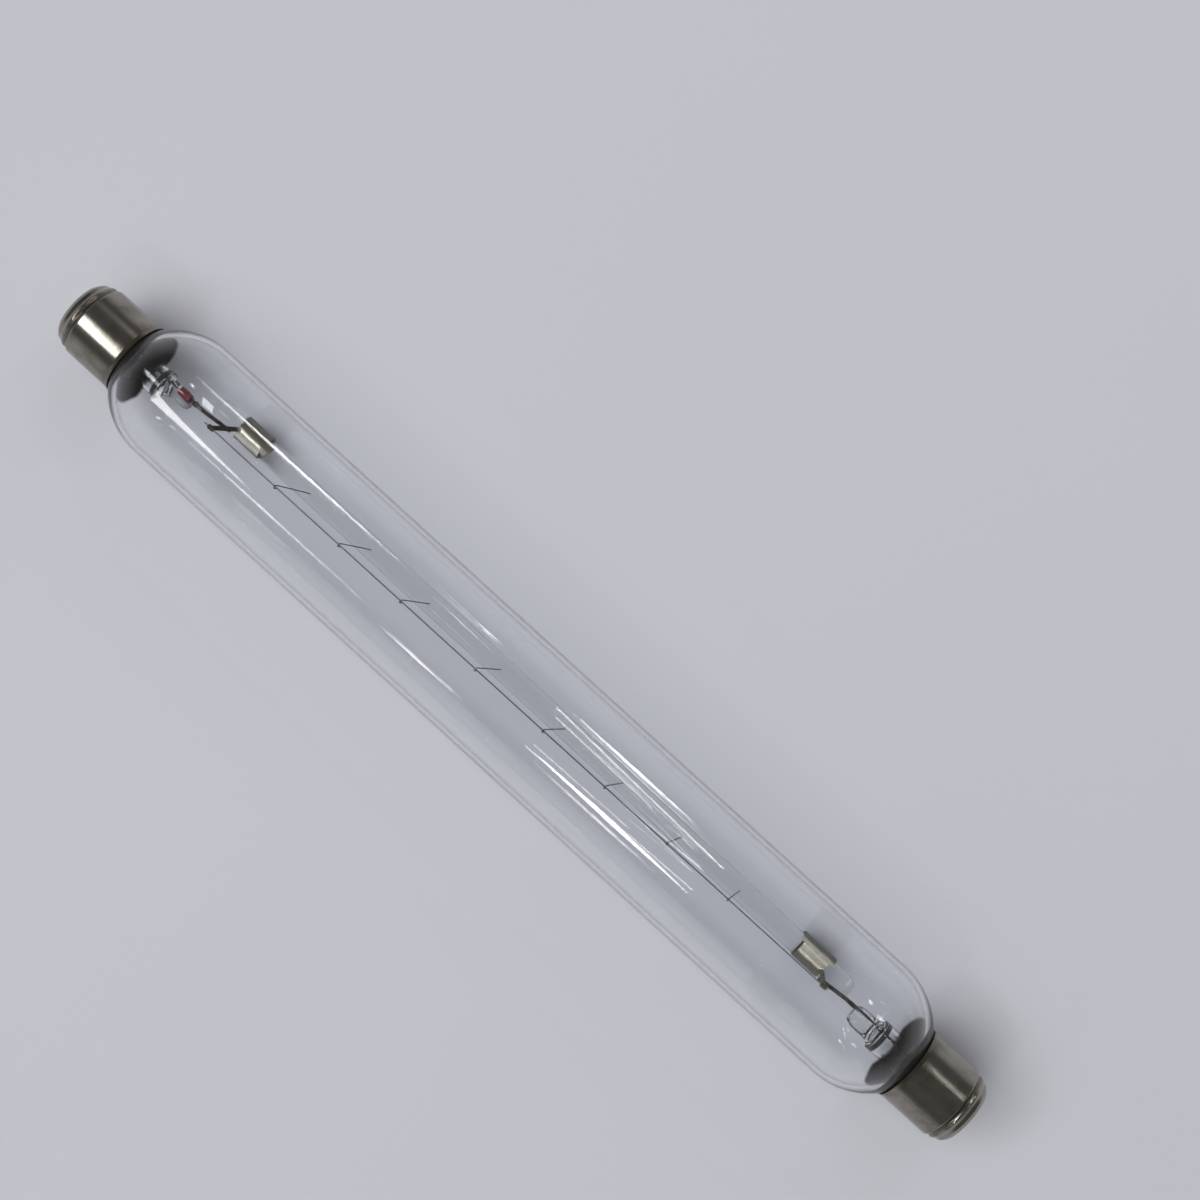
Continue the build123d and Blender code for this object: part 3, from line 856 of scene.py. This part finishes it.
class LAMP_OT_stage(bpy.types.Operator):
    """Sets the floor, the room, the light panels, the fill light and the camera"""

    bl_idname = "lamp.stage"
    bl_label = "Stage"

    # Name, brightness and corners of each light panel. A corner is its place along the lamp, in metres, and
    # its lean from straight above towards +Y, in degrees.
    PANELS = (
        ("panel_left", 7.0, ((-0.190, -35.0), (-0.255, -23.0), (-0.345, -2.0), (-0.345, -37.0))),
        ("panel_rim", 1.5, ((-0.160, -66.5), (-0.160, -69.0), (-0.196, -69.5), (-0.196, -66.0))),
        ("panel_middle", 26.0, ((-0.004, -39.0), (0.045, -41.5), (0.100, -39.5), (0.045, -35.5))),
        ("panel_low", 18.0, ((-0.100, -57.0), (-0.078, -58.5), (-0.052, -57.0), (-0.078, -55.5))),
        ("panel_back", 22.0, ((-0.255, 45.0), (-0.190, 43.5), (-0.108, 45.0), (-0.190, 46.5))),
        ("panel_dash", 20.0, ((-0.068, 58.0), (-0.058, 57.0), (-0.048, 58.0), (-0.058, 59.0))),
        ("panel_far", 22.0, ((-0.002, 53.5), (0.040, 51.5), (0.084, 53.5), (0.040, 55.5))),
        ("panel_long", 20.0, ((-0.009, 40.4), (0.103, 28.4), (0.103, 29.6), (-0.009, 41.6))),
        ("panel_short", 16.0, ((-0.006, 27.4), (0.058, 23.6), (0.058, 24.6), (-0.006, 28.4))),
        ("panel_cross", 14.0, ((0.042, 14.0), (0.097, 4.4), (0.042, -2.6), (0.095, 5.2))),
        ("panel_right", 6.0, ((0.242, 28.0), (0.248, 19.0), (0.254, 28.0), (0.248, 40.0))),
    )

    # Height in the room, from 0 at the horizon to 1 overhead, where the walls end and the ceiling begins
    WALL_TOP = (0.05, 0.40)

    def execute(self, context):
        stage = context.scene.tubular_lamp.stage
        self.add_floor(stage)
        self.add_room(context.scene, stage)
        for panel in self.PANELS:
            self.add_panel(stage, *panel)
        self.add_fill(stage)
        self.add_camera(context.scene, stage)
        context.scene.view_settings.view_transform = "Standard"
        return {"FINISHED"}

    def add_floor(self, stage):
        """A wide square at the lamp's lowest point."""
        corner = np.array([[-1.0, -1.0], [1.0, -1.0], [1.0, 1.0], [-1.0, 1.0]]) * stage.floor_half
        points = np.column_stack([corner, np.full(4, cad_low.z)])
        mesh = bpy.data.meshes.new("floor")
        mesh.from_pydata(points.tolist(), [], [[0, 1, 2, 3]])
        finish = new_finish("floor_matt")
        cloud = finish.noise(finish.place(), scale=9.0, detail=2.0, roughness=0.5)
        dark = opaque(scaled(stage.floor_colour, 0.98))
        light = opaque(scaled(stage.floor_colour, 1.02))
        shade = finish.blend(cloud, dark, light)
        mesh.materials.append(finish.show(finish.shader(Base_Color=shade, Roughness=0.8)))
        floor = bpy.data.objects.new("floor", mesh)
        bpy.context.scene.collection.objects.link(floor)

    def add_room(self, scene, stage):
        """Even light that is pale near the horizon and dim overhead."""
        world = bpy.data.worlds.new("studio_room")
        scene.world = world
        finish = Finish(world)
        direction = finish.node("ShaderNodeTexCoord", output="Generated")
        height = finish.ease(finish.axis(direction, "Z"), *self.WALL_TOP)
        colour = finish.blend(height, opaque(stage.wall_colour), opaque(stage.ceiling_colour))
        light = finish.node("ShaderNodeBackground", inputs={"Color": colour, "Strength": 1.0})
        finish.show(light, "ShaderNodeOutputWorld")

    def add_fill(self, stage):
        """An even soft light from above, which metal and glass do not mirror."""
        light = bpy.data.lights.new("fill", "SUN")
        light.energy = stage.fill_strength * math.pi
        light.angle = stage.fill_spread
        fill = bpy.data.objects.new("fill", light)
        ray = Vector(stage.fill_from).normalized()
        fill.matrix_world = Matrix.Translation(ray) @ ray.to_track_quat("Z", "Y").to_matrix().to_4x4()
        fill.visible_glossy = False
        fill.visible_transmission = False
        bpy.context.scene.collection.objects.link(fill)

    def add_panel(self, stage, name, brightness, corners):
        """A flat light panel over the lamp: each corner is (along, d sin lean, d cos lean)."""
        along, lean = np.array(corners).T
        turn = np.radians(lean)
        reach = stage.panel_distance
        points = np.stack([along, reach * np.sin(turn), reach * np.cos(turn)], axis=1)
        mesh = bpy.data.meshes.new(name)
        mesh.from_pydata(points.tolist(), [], [list(range(len(points)))])
        finish = new_finish(name)
        white = (1.0, 1.0, 1.0, 1.0)
        glow = finish.node("ShaderNodeEmission", inputs={"Color": white, "Strength": brightness})
        mesh.materials.append(finish.show(glow))
        panel = bpy.data.objects.new(name, mesh)
        panel.visible_camera = False
        panel.visible_shadow = False
        bpy.context.scene.collection.objects.link(panel)

    def add_camera(self, scene, stage):
        """A camera at its place, aimed at a point and turned so that one direction runs to the right."""
        data = bpy.data.cameras.new("camera")
        data.sensor_fit = "HORIZONTAL"
        data.angle = stage.camera_angle
        data.clip_start = stage.camera_clip
        camera = bpy.data.objects.new("camera", data)
        place = Vector(stage.camera_place)
        forward = (Vector(stage.camera_aim) - place).normalized()
        right = Vector(stage.camera_right)
        right = (right - forward * right.dot(forward)).normalized()
        turn = Matrix((right, right.cross(forward), -forward)).transposed().to_4x4()
        camera.matrix_world = Matrix.Translation(place) @ turn
        scene.collection.objects.link(camera)
        scene.camera = camera


OPERATORS = (
    LAMP_OT_glass_bulb,
    LAMP_OT_filament_coil,
    LAMP_OT_seal_wires,
    LAMP_OT_glasswork,
    LAMP_OT_shell_caps,
    LAMP_OT_metalwork,
    LAMP_OT_stage,
)


class LAMP_PT_panel(bpy.types.Panel):
    """Lists the lamp's settings and its operators"""

    bl_idname = "LAMP_PT_panel"
    bl_label = "Tubular lamp"
    bl_space_type = "VIEW_3D"
    bl_region_type = "UI"
    bl_category = "Lamp"

    def draw(self, context):
        settings = context.scene.tubular_lamp
        for group in (settings.glass, settings.coil, settings.colours, settings.stage):
            box = self.layout.box()
            for name in group.__annotations__:
                box.prop(group, name)
        for operator in OPERATORS:
            self.layout.operator(operator.bl_idname)


CLASSES = (GlassSizes, CoilSizes, FinishColours, StageSettings, LampSettings, *OPERATORS, LAMP_PT_panel)


def register():
    for made in CLASSES:
        bpy.utils.register_class(made)
    bpy.types.Scene.tubular_lamp = PointerProperty(type=LampSettings)


def unregister():
    del bpy.types.Scene.tubular_lamp
    for made in reversed(CLASSES):
        bpy.utils.unregister_class(made)


def main():
    register()
    bpy.ops.lamp.glass_bulb()
    bpy.ops.lamp.filament_coil()
    bpy.ops.lamp.seal_wires()
    bpy.ops.lamp.glasswork()
    bpy.ops.lamp.shell_caps()
    bpy.ops.lamp.metalwork()
    bpy.ops.lamp.stage()


if __name__ == "__main__":
    main()
